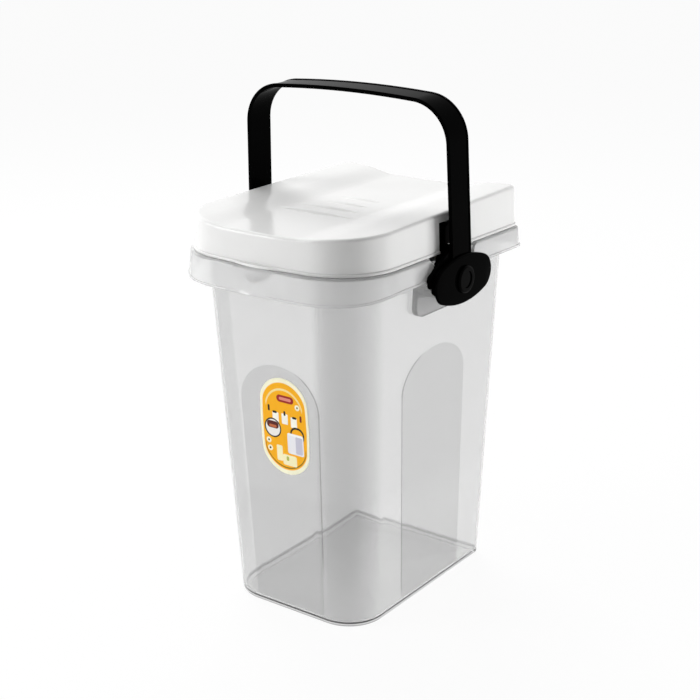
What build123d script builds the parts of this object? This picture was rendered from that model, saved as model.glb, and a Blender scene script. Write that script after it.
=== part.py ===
"""Food storage container: a clear tapered tub, a hinged white lid and a black bail handle.

Millimetres. +X is the right-hand side, +Y the rear with the lid's hinge, +Z up.
The origin is on the floor, under the middle of the whole container.
"""
import math
import os

from build123d import *

# Rim: a flange round the mouth with a skirt that hangs from its edge
rim_height = 288.0
rim_width = 176.6
rim_depth = 219.0
rim_bow = 8.1
rim_front_radius = 51.0
rim_rear_radius = 8.5
rim_thickness = 2.2
rim_edge_radius = 1.6
skirt_flare = 1.7
skirt_drop_front = 19.8
skirt_drop_side = 15.8
skirt_lip_reach = 0.5
skirt_lip_height = 1.6
scoop_half_width = 30.0
scoop_drop = 17.0
scoop_depth = 2.6

# Tub: the wall starts inside the rim and tapers to the base
wall = 1.9
floor_thickness = 2.4
wall_inset_side = 10.2
wall_inset_front = 12.0
wall_inset_rear = 8.1
mouth_front_radius = 33.6
mouth_rear_radius = 8.5
taper_side = 13.1
taper_front = 17.9
taper_rear = 2.4
taper_front_radius = 3.1
taper_rear_radius = 1.5
base_edge_radius = 2.5
foot_ring_width = 4.0
foot_ring_height = 1.2

# Arched panels, polished a little way into the frosted wall
panel_depth = 0.5
panel_bottom = 16.0
front_panel_drop = 79.5
front_panel_half_width = 37.0
front_panel_arch = 33.0
front_panel_narrowing = 0.022
side_panel_drop = 75.5
side_panel_half_width = 43.5
side_panel_arch = 30.0
side_panel_narrowing = 0.012
side_panel_lean = 0.07
side_panel_setback = 7.5

# Label
label_width = 45.5
label_height = 78.0
label_drop = 48.5
label_shift = 4.0
label_thickness = 0.25

# Pivots of the handle
pivot_setback = 8.0
pivot_drop = 20.0
gap_half_width = 28.0
gap_recess = 0.6
pad_half_width = 37.0
pad_drop = 45.0
pad_inset = 7.3
pad_corner_radius = 8.0
boss_radius = 5.0
boss_bore_radius = 3.0
boss_bore_depth = 12.0
hub_radius = 24.0
hub_reach = 2.0
sleeve_radius = 8.0
hub_rim_width = 3.0
hub_dish = 1.6
hub_edge_radius = 1.0
fit_clearance = 0.05
stand_off = 0.3

# Handle
handle_rise = 135.2
handle_crown = 4.7
handle_shoulder_radius = 33.0
handle_width = 25.2
handle_thickness = 3.0
handle_splay = 2.0
handle_lean = 2.5
arm_reach = 8.6
bead_width = 1.7
bead_height = 0.5
foot_half_length = 39.0
foot_half_height = 18.6
foot_end_radius = 14.0
foot_stand = 1.4
foot_edge_radius = 1.4
cam_thickness = 2.9
cam_nose_reach = 41.0
cam_nose_height = 8.0
cam_nose_slant = 2.0
cam_nose_radius = 3.0
cam_shoulder_height = 25.0
cam_foot_drop = 4.0

# Caps on the pivots
cap_radius = 10.5
cap_thickness = 2.4
cap_edge_radius = 1.5
cap_dish_radius = 6.5
cap_dish_depth = 0.8
cap_pin_length = 11.0

# Lid: heights are counted from its lower edge
lid_lift = 0.4
lid_wall = 2.0
lid_inset_side = 3.0
lid_inset_front = 4.2
lid_inset_rear = 1.5
lid_draft = 1.5
ridge_rise_front = 26.4
ridge_rise_rear = 32.0
dish_rise_front = 23.4
dish_rise_rear = 25.8
dish_half_width = 50.0
dish_slope_width = 15.0
lid_edge_radius = 3.0
lid_bead_reach = 0.8
lid_bead_height = 1.8
wave_width = 4.4
wave_height = 0.8
wave_first = -39.5
wave_pitch = 18.0
wave_lengths = (53.0, 40.0, 28.0, 25.0)
plug_gap = 0.9
plug_wall = 1.8
plug_depth = 6.5
shelf_thickness = 1.6
seal_width = 2.8
seal_height = 2.7
lip_half_width = 27.0
lip_reach = 3.4
lip_thickness = 1.8
tab_gap = 0.6
tab_thickness = 1.6
tab_width = 2.2

# Pockets in the lid's sides, each with a black catch
pocket_half_width = 15.0
pocket_rise = 22.6
pocket_depth = 4.8
pocket_wall = 1.4
catch_gap = 0.4
catch_thickness = 3.8
catch_groove_width = 12.0
catch_groove_depth = 1.4
catch_groove_margin = 3.0
catch_corner_radius = 2.0

# Hinge of the lid
hinge_reach = 5.0
hinge_lift = 3.0
hinge_inset = 40.3
knuckle_length = 18.0
knuckle_radius = 4.3
ear_radius = 4.6
ear_thickness = 3.6
ear_gap = 0.4
pin_radius = 2.0
pin_head = 0.8

# Places that follow from the sizes above
rim_y = (rim_bow + skirt_flare + skirt_lip_reach - hinge_reach - ear_radius) / 2
rim_front = rim_y - rim_depth / 2
rim_rear = rim_y + rim_depth / 2
skirt_bottom = rim_height - skirt_drop_front
pivot_y = rim_y + pivot_setback
pivot_height = rim_height - pivot_drop
pad_face = rim_width / 2 - pad_inset
hub_face = rim_width / 2 + hub_reach
arm_face = rim_width / 2 + arm_reach
arm_inner = arm_face - handle_thickness
foot_face = arm_face + foot_stand
lid_base = rim_height + lid_lift
lid_side = rim_width / 2 - lid_inset_side
hinge_y = rim_rear + hinge_reach
hinge_z = rim_height + hinge_lift
hinge_spacing = rim_width - 2 * hinge_inset
far = 2 * (rim_width + rim_depth)
overrun = 5.0  # how far a cutting shape runs past the surface it cuts


def outline(width, front, rear, front_radius, rear_radius, bow=0.0, height=0.0):
    """Plan face: a rectangle with rounded corners, its front edge an arc when it bows."""
    half = width / 2
    left, right = (-half, front), (half, front)
    edge = ThreePointArc(left, (0, front - bow), right) if bow else Line(left, right)
    sides = Polyline(right, (half, rear), (-half, rear), left)
    face = make_face([edge] + sides.edges())
    front_corners = face.vertices().sort_by(Axis.Y)[:2]
    face = fillet(front_corners, front_radius)
    rear_corners = face.vertices().sort_by(Axis.Y)[-2:]
    face = fillet(rear_corners, rear_radius)
    return Pos(0, 0, height) * face


def wall_outline(height, inset=0.0):
    """Plan of the tub's wall at a height, moved inwards by inset."""
    share = 1 - height / rim_height
    width = rim_width - 2 * (wall_inset_side + taper_side * share + inset)
    front = rim_front + wall_inset_front + taper_front * share + inset
    rear = rim_rear - wall_inset_rear - taper_rear * share - inset
    front_radius = mouth_front_radius - taper_front_radius * share - inset
    rear_radius = mouth_rear_radius - taper_rear_radius * share - inset
    return outline(width, front, rear, front_radius, rear_radius, 0.0, height)


def wall_block(low, high, inset=0.0):
    """Solid inside the tub's wall surface between two heights."""
    return loft([wall_outline(low, inset).faces()[0], wall_outline(high, inset).faces()[0]], ruled=True)


def rim_outline(height, grow=0.0):
    """Plan of the rim's outer edge, grown outwards by grow."""
    return outline(rim_width + 2 * grow, rim_front - grow, rim_rear + grow,
                   rim_front_radius + grow, rim_rear_radius + grow, rim_bow, height)


def lid_outline(height, inset=0.0):
    """Plan of the lid's side wall at a height, moved inwards by inset."""
    lean = lid_draft * (height - lid_base) / ridge_rise_rear
    inside = inset + lean
    return outline(rim_width - 2 * (lid_inset_side + inside), rim_front + lid_inset_front + inside,
                   rim_rear - lid_inset_rear - inset, rim_front_radius - lid_inset_front - inside,
                   rim_rear_radius - lid_inset_rear, rim_bow, height)


def lid_block(low, high, inset=0.0):
    """Solid inside the lid's side wall between two heights."""
    return loft([lid_outline(low, inset).faces()[0], lid_outline(high, inset).faces()[0]], ruled=True)


def both_sides(right_piece):
    """A right-hand shape and its mirror image."""
    return [right_piece, mirror(right_piece, about=Plane.YZ)]


def side_prism(sketch, inner, outer):
    """A sketch in Y and Z, centred on the right-hand pivot, extruded from x = inner to x = outer."""
    plane = Plane(origin=(inner, pivot_y, pivot_height), x_dir=(0, 1, 0), z_dir=(1, 0, 0))
    return extrude(plane * sketch, outer - inner)


def arch(half_width, apex, rise, narrowing, lean):
    """Sketch of an arched panel: sides that come together and lean over downwards, a half oval on top."""
    spring = apex - rise
    tall = spring - panel_bottom
    foot = half_width - narrowing * tall
    left, right = lean * tall - foot, lean * tall + foot
    sides = Polygon((-half_width, spring), (left, panel_bottom), (right, panel_bottom), (half_width, spring), align=None)
    top = Ellipse(half_width, rise) - Pos(0, -rise) * Rectangle(2 * far, 2 * rise)
    return sides + Pos(0, spring) * top


def below_skirt(lift=0.0):
    """Block under the skirt: its top follows the skirt's edge, which rises from front to sides."""
    rise = rim_front + rim_front_radius
    low, high = skirt_bottom + lift, rim_height - skirt_drop_side + lift
    middle = ((rim_front + rise) / 2, (low + high) / 2)
    tangent = (1, 0)
    front = TangentArc((rim_front, low), middle, tangent=tangent)
    back = TangentArc((rise, high), middle, tangent=(-1, 0))
    rest = Polyline((rise, high), (far, high), (far, 0), (-far, 0), (-far, low), (rim_front, low))
    return extrude(Plane.YZ * make_face([front, back] + rest.edges()), far, both=True)


def make_skirt():
    """Flange and skirt of the rim, with the thumb scoop and the cut-aways for the pivots."""
    outer = loft([rim_outline(skirt_bottom, skirt_flare).faces()[0], rim_outline(rim_height).faces()[0]],
                 ruled=True)
    outer = fillet(outer.faces().sort_by(Axis.Z)[-1].edges(), rim_edge_radius)
    outer += extrude(rim_outline(skirt_bottom, skirt_flare + skirt_lip_reach), far) & below_skirt(skirt_lip_height)
    inner = loft([rim_outline(skirt_bottom, skirt_flare - rim_thickness).faces()[0],
                  rim_outline(rim_height - rim_thickness, -rim_thickness).faces()[0]], ruled=True)
    skirt = outer - inner
    rise = (scoop_half_width ** 2 - scoop_drop ** 2) / (2 * scoop_drop)
    ring = rise + scoop_drop
    depth = scoop_depth * ring ** 2 / (ring ** 2 - rise ** 2)
    radius = (ring ** 2 + depth ** 2) / (2 * depth)
    place = Pos(0, rim_front - rim_bow - skirt_flare / 2 + depth - radius, rim_height + rise)
    backing = (place * Sphere(radius + rim_thickness)) & outer
    skirt = skirt + backing - place * Sphere(radius)
    return skirt - below_skirt()


def pivot_gap():
    """Cut-away of the rim round a pivot: its ends leave the skirt with half-round ends."""
    end_radius = skirt_drop_side / 2
    middle = rim_height - skirt_drop_side / 2 - pivot_height
    reach = gap_half_width + end_radius
    tall = skirt_drop_side + 2 * end_radius
    gap = Pos(0, middle) * Rectangle(2 * reach, tall)
    for side in (-1, 1):
        gap -= Pos(side * reach, middle) * Circle(end_radius)
    return gap


def make_tub():
    """Clear tub with its rim, side pads, pivot bosses and hinge ears."""
    body = wall_block(0, rim_height)
    body = fillet(body.faces().sort_by(Axis.Z)[0].edges(), base_edge_radius)
    bottom = floor_thickness + foot_ring_height
    cavity = wall_block(bottom, rim_height + overrun, wall)
    skirt = make_skirt()
    gap = side_prism(pivot_gap(), pad_face - gap_recess, hub_face + overrun)
    for cut in both_sides(gap):
        skirt -= cut
    body += skirt
    pad_top = rim_height - rim_thickness
    pad_start = rim_width / 2 - wall_inset_side - taper_side
    pad_bottom = rim_height - pad_drop
    pad = Rectangle(2 * pad_half_width, pad_top - pad_bottom)
    pad = fillet(pad.vertices(), pad_corner_radius)
    pad = side_prism(Pos(0, (pad_top + pad_bottom) / 2 - pivot_height) * pad, pad_start, pad_face)
    boss = side_prism(Circle(boss_radius), pad_face, foot_face)
    for piece in both_sides(pad) + both_sides(boss):
        body += piece
    body -= cavity
    bore = side_prism(Circle(boss_bore_radius + fit_clearance), foot_face - boss_bore_depth, foot_face)
    for cut in both_sides(bore):
        body -= cut
    hollow = wall_outline(0, foot_ring_width + base_edge_radius)
    body -= extrude(hollow, foot_ring_height)
    recess = wall_block(0, rim_height) - wall_block(0, rim_height, panel_depth)
    front = arch(front_panel_half_width, rim_height - front_panel_drop, front_panel_arch, front_panel_narrowing, 0)
    body -= recess & extrude(Plane.XZ * front, far)
    side = arch(side_panel_half_width, rim_height - side_panel_drop, side_panel_arch, side_panel_narrowing,
                side_panel_lean)
    plane = Plane(origin=(0, rim_y + side_panel_setback, 0), x_dir=(0, 1, 0), z_dir=(1, 0, 0))
    body -= recess & extrude(plane * side, far, both=True)
    for ear in hinge_ears():
        body += ear
    return body


def hinge_ears():
    """Two ears at each hinge, from the rear skirt up to an eye round the pin."""
    ears = []
    low = rim_height - skirt_drop_side
    web = Polygon((rim_rear - rim_thickness / 2, low), (rim_rear, low), (hinge_y + ear_radius, hinge_z),
                  (hinge_y - ear_radius, hinge_z), (rim_rear - rim_thickness / 2, rim_height - rim_thickness),
                  align=None)
    ear = web + Pos(hinge_y, hinge_z) * Circle(ear_radius)
    hole = Pos(hinge_y, hinge_z) * Circle(pin_radius + fit_clearance)
    for side in (-1, 1):
        for end in (-1, 1):
            middle = side * hinge_spacing / 2 + end * (knuckle_length / 2 + ear_gap + ear_thickness / 2)
            ears.append(extrude(Plane.YZ.offset(middle) * (ear - hole), ear_thickness / 2, both=True))
    return ears


def dish_cutter(drop=0.0):
    """Everything above the lid's top surface: a dish that rolls up into two ridges, all rising to the rear."""
    def section(station, floor, ridge):
        floor, ridge = lid_base + floor - drop, lid_base + ridge - drop
        inside, outside = dish_half_width, dish_half_width + dish_slope_width
        line = [Line((-inside, floor), (inside, floor))]
        for side in (-1, 1):
            middle = (side * (inside + outside) / 2, (floor + ridge) / 2)
            line.append(TangentArc((side * inside, floor), middle, tangent=(side, 0)))
            line.append(TangentArc((side * outside, ridge), middle, tangent=(-side, 0)))
        over = Polyline((outside, ridge), (far, ridge), (far, far), (-far, far), (-far, ridge), (-outside, ridge))
        plane = Plane(origin=(0, station, 0), x_dir=(1, 0, 0), z_dir=(0, -1, 0))
        return (plane * make_face(line + over.edges())).faces()[0]
    front = section(rim_front - rim_bow, dish_rise_front, ridge_rise_front)
    rear = section(rim_rear, dish_rise_rear, ridge_rise_rear)
    return loft([front, rear], ruled=True)


def wave_bars():
    """Plan of the raised bars across the dish, each a thin lens a little longer than the next."""
    bars = []
    for i, length in enumerate(wave_lengths):
        half = length / 2
        upper = ThreePointArc((-half, 0), (0, wave_width / 2), (half, 0))
        lower = ThreePointArc((half, 0), (0, -wave_width / 2), (-half, 0))
        bars.append(Pos(0, rim_y + wave_first + i * wave_pitch, lid_base) * make_face([upper, lower]))
    return bars


def round_top(block):
    """The lid's block with its upper outer edges rounded."""
    crown = [e for e in block.edges() if e.bounding_box().min.Z > lid_base + dish_rise_front - lid_edge_radius]
    return fillet([e for e in crown if touches_side(e)], lid_edge_radius)


def touches_side(edge):
    """Whether an edge of the lid's top lies on its side wall, by the place of its middle."""
    point = edge @ 0.5
    return not lid_outline(point.Z, lid_wall / 4).faces()[0].is_inside(point)


def make_lid():
    """White lid: dished top, side wall, locating wall, shelf over the seal, pockets and knuckles."""
    top = lid_base + ridge_rise_rear + lid_wall
    bead = extrude(lid_outline(lid_base, -lid_bead_reach), lid_bead_height)
    shell = round_top(lid_block(lid_base, top) - dish_cutter()) + bead
    hollow = lid_block(lid_base - overrun, top, lid_wall) - dish_cutter(lid_wall)
    plug_low = rim_height - plug_depth
    plug_outer = wall_outline(rim_height, wall + plug_gap)
    plug_inner = wall_outline(rim_height, wall + plug_gap + plug_wall)
    shelf_low = rim_height + seal_height + stand_off
    envelope = lid_block(plug_low - overrun, top) - dish_cutter(lid_wall / 2)
    plug = extrude(Pos(0, 0, plug_low - rim_height) * (plug_outer - plug_inner), top - plug_low) & envelope
    shelf_plan = Pos(0, 0, shelf_low - rim_height) * (lid_plan() - plug_inner)
    shelf = extrude(shelf_plan, shelf_thickness) & envelope
    lid = shell - hollow + plug + shelf
    back = lid_side - pocket_depth
    tall = lid_base + pocket_rise - pivot_height
    pocket = Pos(0, tall / 2) * Rectangle(2 * pocket_half_width, tall)
    lining = Pos(0, tall / 2) * Rectangle(2 * (pocket_half_width + pocket_wall), tall + 2 * pocket_wall)
    linings = side_prism(lining, back - pocket_wall, lid_side + overrun)
    keep = lid_block(lid_base, top) - dish_cutter(lid_wall / 2)
    for block in both_sides(linings):
        lid += block & keep
    for cut in both_sides(side_prism(pocket, back, lid_side + overrun)):
        lid -= cut
    under = dish_cutter(-wave_height)
    for bar in wave_bars():
        lid += (extrude(bar, ridge_rise_rear) - under) & dish_cutter(lid_wall / 2)
    lip = extrude(Pos(0, 0, lid_base) * lip_plan(), lip_thickness)
    lid += lip - lid_block(lid_base - overrun, top, lid_wall)
    for tab in lid_tabs():
        lid += tab
    for knuckle in hinge_knuckles():
        lid += knuckle
    return lid


def lid_plan():
    """Plan of the lid at its lower edge, at the height of the rim."""
    return Pos(0, 0, rim_height - lid_base) * lid_outline(lid_base)


def lip_plan():
    """Plan of the thumb lip: a crescent that stands out over the scoop."""
    root = rim_front + lid_inset_front + lid_wall
    tip = rim_front + lid_inset_front - rim_bow - lip_reach
    front = ThreePointArc((-lip_half_width, root - rim_bow), (0, tip), (lip_half_width, root - rim_bow))
    back = Polyline((lip_half_width, root - rim_bow), (lip_half_width, root), (-lip_half_width, root),
                    (-lip_half_width, root - rim_bow))
    return make_face([front] + back.edges())


def lid_tabs():
    """Four hooks under the lid's side wall, each bent round an end of the skirt."""
    end_radius = skirt_drop_side / 2
    middle = rim_height - end_radius - pivot_height
    outer = lid_side - fit_clearance
    tabs = []
    for side in (-1, 1):
        place = Pos(side * (gap_half_width + end_radius), middle)
        hook = place * (Circle(end_radius + tab_gap + tab_thickness) - Circle(end_radius + tab_gap))
        window = Pos(side * (gap_half_width - tab_width / 2), middle) * Rectangle(
            2 * end_radius + tab_width, 2 * end_radius + overrun, align=(Align.CENTER, Align.MIN))
        tabs += both_sides(side_prism(hook & window, outer - tab_width, outer))
    return tabs


def hinge_knuckles():
    """Knuckles of the lid's hinge, each with a web to the rear wall."""
    knuckles = []
    lid_rear = rim_rear - lid_inset_rear
    web_low, web_high = lid_base + stand_off, hinge_z + knuckle_radius
    web = Pos((lid_rear - lid_wall / 2 + hinge_y) / 2, (web_low + web_high) / 2) * Rectangle(
        hinge_y - lid_rear + lid_wall / 2, web_high - web_low)
    profile = web + Pos(hinge_y, hinge_z) * Circle(knuckle_radius)
    profile -= Pos(hinge_y, hinge_z) * Circle(pin_radius + fit_clearance)
    for side in (-1, 1):
        plane = Plane.YZ.offset(side * hinge_spacing / 2)
        knuckles.append(extrude(plane * profile, knuckle_length / 2, both=True))
    return knuckles


def make_seal():
    """Soft ring over the mouth's edge, under the lid's shelf."""
    middle = wall / 2
    outer = wall_outline(rim_height, middle - seal_width / 2)
    inner = wall_outline(rim_height, middle + seal_width / 2)
    ring = Pos(0, 0, stand_off) * (outer - inner)
    return extrude(ring, seal_height)


def make_catch():
    """Right-hand catch: a plate in the lid's pocket, with a groove and a saddle over the hub."""
    back = lid_side - pocket_depth
    low = lid_base + catch_gap - pivot_height
    high = lid_base + pocket_rise - catch_gap - pivot_height
    plate = Pos(0, (low + high) / 2) * Rectangle(2 * (pocket_half_width - catch_gap), high - low)
    plate = fillet(plate.vertices().sort_by(Axis.Y)[-2:], catch_corner_radius)
    plate -= Circle(hub_radius + 2 * stand_off)
    solid = side_prism(plate, back, back + catch_thickness)
    groove = Pos(0, (low + high) / 2) * Rectangle(catch_groove_width, high - low - 2 * catch_groove_margin)
    groove = fillet(groove.vertices(), catch_corner_radius)
    return solid - side_prism(groove, back + catch_thickness - catch_groove_depth, back + catch_thickness)


def oval(half_length, half_height, end_radius):
    """Four-centred oval: two end arcs and two long arcs that meet them in line."""
    centre = half_length - end_radius
    long_radius = (centre ** 2 + half_height ** 2 - end_radius ** 2) / (2 * (half_height - end_radius))
    drop = long_radius - half_height
    reach = long_radius / (long_radius - end_radius)
    join_x = centre * reach
    join_y = drop * (reach - 1)
    upper = ThreePointArc((-join_x, join_y), (0, half_height), (join_x, join_y))
    right = ThreePointArc((join_x, join_y), (half_length, 0), (join_x, -join_y))
    lower = ThreePointArc((join_x, -join_y), (0, -half_height), (-join_x, -join_y))
    left = ThreePointArc((-join_x, -join_y), (-half_length, 0), (-join_x, join_y))
    return make_face([upper, right, lower, left])


def handle_profile(inset=0.0):
    """Face inside the bail's outer line, moved inwards by inset; below, the feet cover where it is filled."""
    slope = math.tan(math.radians(handle_splay))
    rise = handle_rise - handle_crown
    foot, corner = arm_face, arm_face - rise * slope
    side = Polyline((-corner, rise), (-foot, 0), (foot, 0), (corner, rise))
    crown = ThreePointArc((corner, rise), (0, rise + handle_crown), (-corner, rise))
    face = make_face(side.edges() + [crown])
    face = fillet(face.vertices().sort_by(Axis.Y)[-2:], handle_shoulder_radius)
    if inset:
        face = offset(face, -inset, kind=Kind.INTERSECTION)
        face += Pos(0, inset / 2) * Rectangle(2 * (foot - inset) - cam_thickness, 2 * inset)
    return face


def cam_sketch():
    """Cam behind the foot: a nose each side, and shoulders that run up to the arm."""
    half = handle_width / 2
    points = [(-half, cam_shoulder_height), (-cam_nose_reach, cam_nose_height), (cam_nose_slant - cam_nose_reach, 0),
              (-half, cam_foot_drop - foot_half_height), (half, cam_foot_drop - foot_half_height), (cam_nose_reach - cam_nose_slant, 0),
              (cam_nose_reach, cam_nose_height), (half, cam_shoulder_height)]
    cam = make_face(Polyline(*points, close=True).edges())
    noses = [v for v in cam.vertices() if abs(v.X) > cam_nose_reach - cam_nose_slant / 2]
    return fillet(noses, cam_nose_radius)


def make_handle():
    """Black bail: a strap with beaded edges, two oval feet and the cams behind them."""
    strap = handle_profile() - handle_profile(handle_thickness)
    trough = handle_profile() - handle_profile(bead_height)
    upright = Plane.XZ
    bail = extrude(upright * strap, handle_width / 2, both=True)
    bail -= extrude(upright * trough, handle_width / 2 - bead_width, both=True)
    floor = Pos(0, 0, -far / 2) * Box(far, far, far)
    bail = Pos(0, pivot_y, pivot_height) * (Rot(handle_lean, 0, 0) * (bail - floor))
    foot = side_prism(oval(foot_half_length, foot_half_height, foot_end_radius),
                      arm_inner, foot_face)
    foot = fillet(foot.faces().sort_by(Axis.X)[-1].edges(), foot_edge_radius)
    cam = side_prism(cam_sketch(), arm_inner - cam_thickness, arm_inner)
    for piece in both_sides(foot + cam):
        bail += piece
    bore = side_prism(Circle(sleeve_radius + fit_clearance), hub_face, foot_face)
    for cut in both_sides(bore):
        bail -= cut
    return bail


def make_hub():
    """Right-hand hub: a disc in the rim's cut-away, with the sleeve on which the foot turns."""
    disc = side_prism(Circle(hub_radius), pad_face, hub_face)
    disc = fillet(disc.faces().sort_by(Axis.X)[-1].edges(), hub_edge_radius)
    dish = side_prism(Circle(hub_radius - hub_rim_width) - Circle(sleeve_radius + hub_rim_width),
                      hub_face - hub_dish, hub_face)
    sleeve = side_prism(Circle(sleeve_radius), hub_face - hub_dish, foot_face + fit_clearance)
    bore = side_prism(Circle(boss_radius + fit_clearance), pad_face, foot_face + overrun)
    return disc - dish + sleeve - bore


def make_cap():
    """Right-hand cap: a dished button with a pin that is pressed into the boss."""
    start = foot_face + 2 * fit_clearance
    disc = side_prism(Circle(cap_radius), start, start + cap_thickness)
    disc = fillet(disc.faces().sort_by(Axis.X)[-1].edges(), cap_edge_radius)
    disc -= side_prism(Circle(cap_dish_radius), start + cap_thickness - cap_dish_depth, start + cap_thickness)
    pin = side_prism(Circle(boss_bore_radius), start - cap_pin_length, start)
    return disc + pin


def make_pin(side):
    """Hinge pin through two ears and the knuckle between them."""
    half = knuckle_length / 2 + ear_gap + ear_thickness + pin_head
    plane = Plane.YZ.offset(side * hinge_spacing / 2)
    return extrude(plane * (Pos(hinge_y, hinge_z) * Circle(pin_radius)), half, both=True)


def make_label():
    """Oval sticker on the floor of the front panel."""
    skin = wall_block(0, rim_height, panel_depth - label_thickness) - wall_block(0, rim_height, panel_depth)
    shape = SlotOverall(label_height, label_width, rotation=90)
    middle = rim_height - front_panel_drop - label_drop
    return skin & extrude(Plane.XZ * (Pos(label_shift, middle) * shape), far)


def main():
    os.makedirs("parts", exist_ok=True)
    pieces = {"tub": make_tub(), "lid": make_lid(), "lid_seal": make_seal(), "handle": make_handle(),
              "label": make_label(), "hinge_pin_left": make_pin(-1), "hinge_pin_right": make_pin(1)}
    for name, right in (("lid_catch", make_catch()), ("pivot_hub", make_hub()), ("pivot_cap", make_cap())):
        pieces[name + "_right"] = right
        pieces[name + "_left"] = mirror(right, about=Plane.YZ)
    for name, shape in pieces.items():
        export_step(shape, "parts/" + name + ".step")


main()
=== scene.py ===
"""Food storage container: clear tub, hinged white lid and black bail, dressed for a plain studio picture."""

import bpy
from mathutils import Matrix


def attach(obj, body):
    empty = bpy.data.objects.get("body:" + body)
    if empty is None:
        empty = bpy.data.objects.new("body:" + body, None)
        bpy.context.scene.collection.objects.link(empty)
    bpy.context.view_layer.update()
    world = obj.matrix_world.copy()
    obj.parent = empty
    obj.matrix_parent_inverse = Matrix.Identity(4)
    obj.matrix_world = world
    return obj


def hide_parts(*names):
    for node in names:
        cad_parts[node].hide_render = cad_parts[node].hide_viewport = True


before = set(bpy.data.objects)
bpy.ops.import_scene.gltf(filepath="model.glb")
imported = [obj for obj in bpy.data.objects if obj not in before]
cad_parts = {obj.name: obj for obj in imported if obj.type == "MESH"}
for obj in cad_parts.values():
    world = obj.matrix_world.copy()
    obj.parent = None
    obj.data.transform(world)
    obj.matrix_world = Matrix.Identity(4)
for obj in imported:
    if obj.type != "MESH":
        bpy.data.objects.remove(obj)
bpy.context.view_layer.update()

import math

import bpy
import numpy as np

MM = 0.001

# Sizes of the tub, in millimetres, as the frame has them
RIM_HEIGHT, RIM_WIDTH, RIM_FRONT, RIM_REAR = 288.0, 176.6, -109.15, 109.85
WALL, FLOOR_THICKNESS, BASE_EDGE = 1.9, 2.4, 2.5
FOOT_RING_WIDTH, FOOT_RING_HEIGHT = 4.0, 1.2
INSET_SIDE, INSET_FRONT, INSET_REAR = 10.2, 12.0, 8.1
TAPER_SIDE, TAPER_FRONT, TAPER_REAR = 13.1, 17.9, 2.4
MOUTH_FRONT_RADIUS, MOUTH_REAR_RADIUS = 33.6, 8.5
TAPER_FRONT_RADIUS, TAPER_REAR_RADIUS = 3.1, 1.5
RIM_Y = (RIM_FRONT + RIM_REAR) / 2
FLOOR_TOP = FLOOR_THICKNESS + FOOT_RING_HEIGHT
FLOOR_RADIUS = 2.0
# The side pads hang this far down, and these boxes hold their faces, which carry painted shadow: reach along the
# side, top and both sides
PAD_BOTTOM = RIM_HEIGHT - 45.0
PAD_REACH, PAD_TOP, PAD_INNER, PAD_OUTER = 48, 286, 60, 84
# A point of the tub's copy that is this near a surface of the wall lies on it
NEAR = 0.12
# The mouth's edge: how far below the rim the walls end and the bevel's top is, and how wide the bevel is
MOUTH_DROP, MOUTH_TOP_DROP, MOUTH_BEVEL = 0.3, 0.1, 0.2

# Points of a plan line: along half its front, round a front corner, along a side, round a rear corner, and
# along half its rear
FRONT_STEPS, CORNER_STEPS, SIDE_STEPS, REAR_CORNER_STEPS, REAR_STEPS = 20, 26, 88, 8, 20
# Rows of the tub's shell: round the base's edge, up the outer wall, down the inner one, round into the floor
BASE_STEPS, OUTER_STEPS, INNER_STEPS, FLOOR_STEPS = 7, 115, 85, 5

# Arched panels: half width, top, rise of the arch, narrowing and lean for each millimetre downwards
PANEL_DEPTH, PANEL_BOTTOM, FRONT_SLOPE, SIDE_SLOPE = 0.5, 6.0, 8.0, 20.0
FRONT_PANEL = (37.0, 208.5, 33.0, 0.022, 0.0)
SIDE_PANEL = (43.5, 212.5, 30.0, 0.012, 0.07)
SIDE_PANEL_Y = RIM_Y + 7.5
# Depths inside a panel's outline: where its step and its polish start, where the polish is full, half the
# width of its painted dark edge line, and what stands for a point away from every panel
PANEL_START, POLISH_FULL, PAINTED_LINE_HALF, OUTSIDE = -0.2, 0.6, 0.6, -9.0
# Where a panel's painted dark edge line starts and is full, sideways from the panel's middle and then upwards
FRONT_PAINTED_LINE, SIDE_PAINTED_LINE = (12, 26, 40, 60), (15, 26, 8, 16)

# Lid: heights are counted from its lower edge
LID_BASE, LID_SIDE, LID_FRONT, LID_REAR = 288.4, 85.3, RIM_FRONT + 4.2, RIM_REAR - 1.5
LID_BOW, LID_FRONT_RADIUS, LID_REAR_RADIUS = 8.1, 46.8, 7.0
LID_DRAFT, LID_DRAFT_HEIGHT = 1.5, 32.0
RIDGE_FRONT, RIDGE_REAR, DISH_FRONT, DISH_REAR = 26.45, 32.05, 23.8, 26.2
# The dish's flat half, the two slopes beside it, and how much of the rise each slope has
DISH_HALF, RIDGE_INNER, BRIM_INNER, RIDGE_OUTER, CROWN_RADIUS = 30.0, 62.0, 55, 82.0, 2.5
SLOPE_SHARE, BRIM_SHARE = 0.8, 0.2
COVER_DEPTH, COVER_PROUD, COVER_THICKNESS, COVER_GAP = 5.0, 0.06, 0.9, 0.05
# Rings of the cover: over its top, round its edge and back underneath
COVER_RINGS, CROWN_STEPS, UNDER_RINGS = 150, 8, 24
BEAD_RADIUS, BEAD_HEIGHT, BEAD_SIDES, BEAD_REAR_GAP = 1.25, 0.95, 14, 9
# Raised waves on the lid: middle across and along, half length, width and height
WAVES = [(-3.0, -39.2, 34.0, 4.4, 1.5), (-2.0, -21.2, 27.0, 4.4, 1.45), (0.0, -3.2, 19.0, 4.4, 1.4),
         (-1.0, 14.9, 18.5, 4.4, 1.4)]
# The CAD lid's own top, just under its surface: the dish and the ridge above it at the front, how much each
# rises to the rear, where the slope between them starts and how wide it is, and how thick a skin is left out
CAD_DISH, CAD_DISH_RISE, CAD_RIDGE, CAD_RIDGE_RISE = 23.4, 2.4, 3.0, 3.2
CAD_SLOPE_START, CAD_SLOPE_WIDTH, TOP_SKIN = 50, 15, 3.0

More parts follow.
